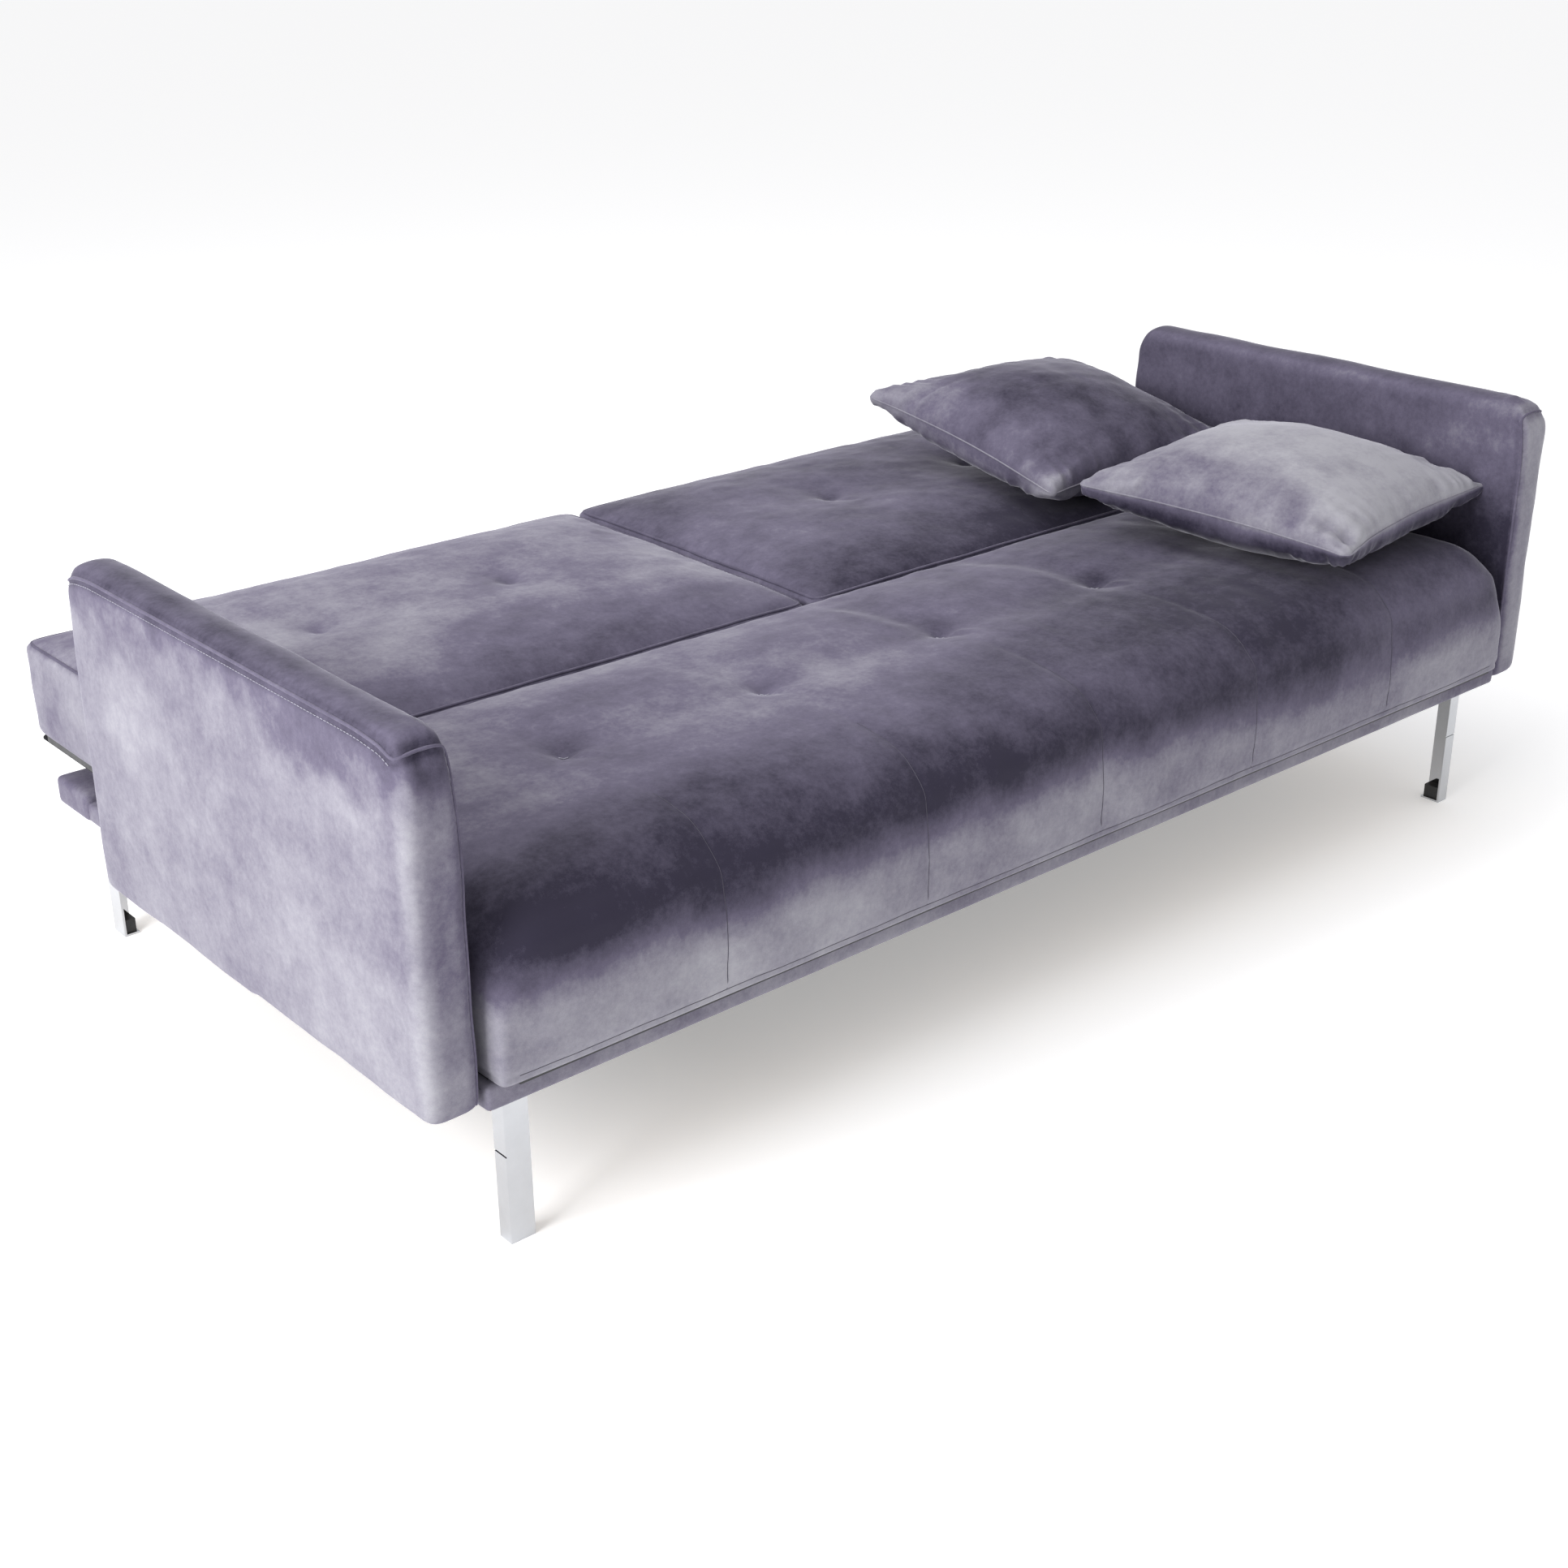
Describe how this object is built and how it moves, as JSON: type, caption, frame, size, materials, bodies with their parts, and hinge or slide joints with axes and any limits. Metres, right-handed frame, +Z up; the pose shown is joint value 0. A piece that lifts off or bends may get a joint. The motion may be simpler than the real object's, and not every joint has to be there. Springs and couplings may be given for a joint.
{
  "type": "futon sofa bed",
  "caption": "Velvet futon sofa bed with a split folding backrest on click-clack hinges, slab arms, flared chrome legs and scatter pillows.",
  "frame": {"origin": "on the floor under the middle of the whole object's box, with the backrest folded flat", "axes": "+X along the length towards the right arm, +Y from the front edge to the rear, +Z up"},
  "size_m": [2, 1.147, 0.625],
  "materials": {
    "velvet": "short-pile velvet, grey-purple",
    "steel": "zinc-plated steel",
    "dark_steel": "black powder coat",
    "chrome": "polished chrome",
    "timber": "planed softwood and ply",
    "foam": "cut polyurethane foam and fibre",
    "lining": "black non-woven cloth",
    "black_plastic": "moulded nylon",
    "rubber": "moulded rubber"
  },
  "bodies": {
    "base": {"front_rail": "timber", "rear_rail": "timber", "left_side_rail": "timber", "right_side_rail": "timber", "cross_rails": "timber", "left_arm_core": "timber", "right_arm_core": "timber", "base_border_cover": "velvet", "left_arm_cover": "velvet", "right_arm_cover": "velvet", "seat_cover": "velvet", "seat_buttons": "velvet", "base_lining": "lining", "left_arm_foam": "foam", "right_arm_foam": "foam", "seat_foam": "foam", "front_left_leg": "chrome", "front_right_leg": "chrome", "rear_left_leg": "chrome", "rear_right_leg": "chrome", "leg_glides": "black_plastic", "rest_pads": "rubber", "leg_screws": "steel", "arm_bolts": "steel", "arm_spacers": "steel", "hinge_plate_bolts": "steel", "pivot_pins": "steel", "seat_springs": "steel", "left_end_plate": "dark_steel", "right_end_plate": "dark_steel", "centre_bracket": "dark_steel", "seat_long_tubes": "dark_steel", "seat_end_tubes": "dark_steel"},
    "left_back": {"left_back_cover": "velvet", "left_back_foam": "foam", "left_back_buttons": "velvet", "left_back_long_tubes": "dark_steel", "left_back_end_tubes": "dark_steel", "left_back_springs": "steel", "left_back_lining": "lining", "left_back_bolts": "steel", "left_ratchet_leaf": "dark_steel", "left_centre_leaf": "dark_steel"},
    "right_back": {"right_back_cover": "velvet", "right_back_foam": "foam", "right_back_buttons": "velvet", "right_back_long_tubes": "dark_steel", "right_back_end_tubes": "dark_steel", "right_back_springs": "steel", "right_back_lining": "lining", "right_back_bolts": "steel", "right_ratchet_leaf": "dark_steel", "right_centre_leaf": "dark_steel"},
    "left_pawl_lever": {"left_pawl": "steel"},
    "right_pawl_lever": {"right_pawl": "steel"},
    "rear_pillow": {"rear_pillow_cover": "velvet", "rear_pillow_insert": "foam"},
    "front_pillow": {"front_pillow_cover": "velvet", "front_pillow_insert": "foam"}
  },
  "joints": [
    {"name": "left_back_fold", "type": "hinge", "parent": "base", "child": "left_back", "pos_m": [-0.4625, 0.0385, 0.372], "axis": [1, 0, 0], "range_deg": [0, 75]},
    {"name": "right_back_fold", "type": "hinge", "parent": "base", "child": "right_back", "pos_m": [0.4625, 0.0385, 0.372], "axis": [1, 0, 0], "range_deg": [0, 75]},
    {"name": "left_pawl_tilt", "type": "hinge", "parent": "base", "child": "left_pawl_lever", "pos_m": [-0.9255, -0.0115, 0.3302], "axis": [1, 0, 0], "range_deg": [0, 5]},
    {"name": "right_pawl_tilt", "type": "hinge", "parent": "base", "child": "right_pawl_lever", "pos_m": [0.9255, -0.0115, 0.3302], "axis": [1, 0, 0], "range_deg": [0, 5]},
    {"name": "rear_pillow_shift", "type": "slide", "parent": "right_back", "child": "rear_pillow", "axis": [0, 1, 0], "range_m": [0, 0.176]},
    {"name": "front_pillow_shift", "type": "slide", "parent": "base", "child": "front_pillow", "axis": [0, -1, 0], "range_m": [0, 0.081]}
  ],
  "couplings": [
    {"joint": "rear_pillow_shift", "follows": "right_back_fold", "m_per_rad": 0.13369},
    {"joint": "front_pillow_shift", "follows": "right_back_fold", "m_per_rad": 0.06112}
  ]
}
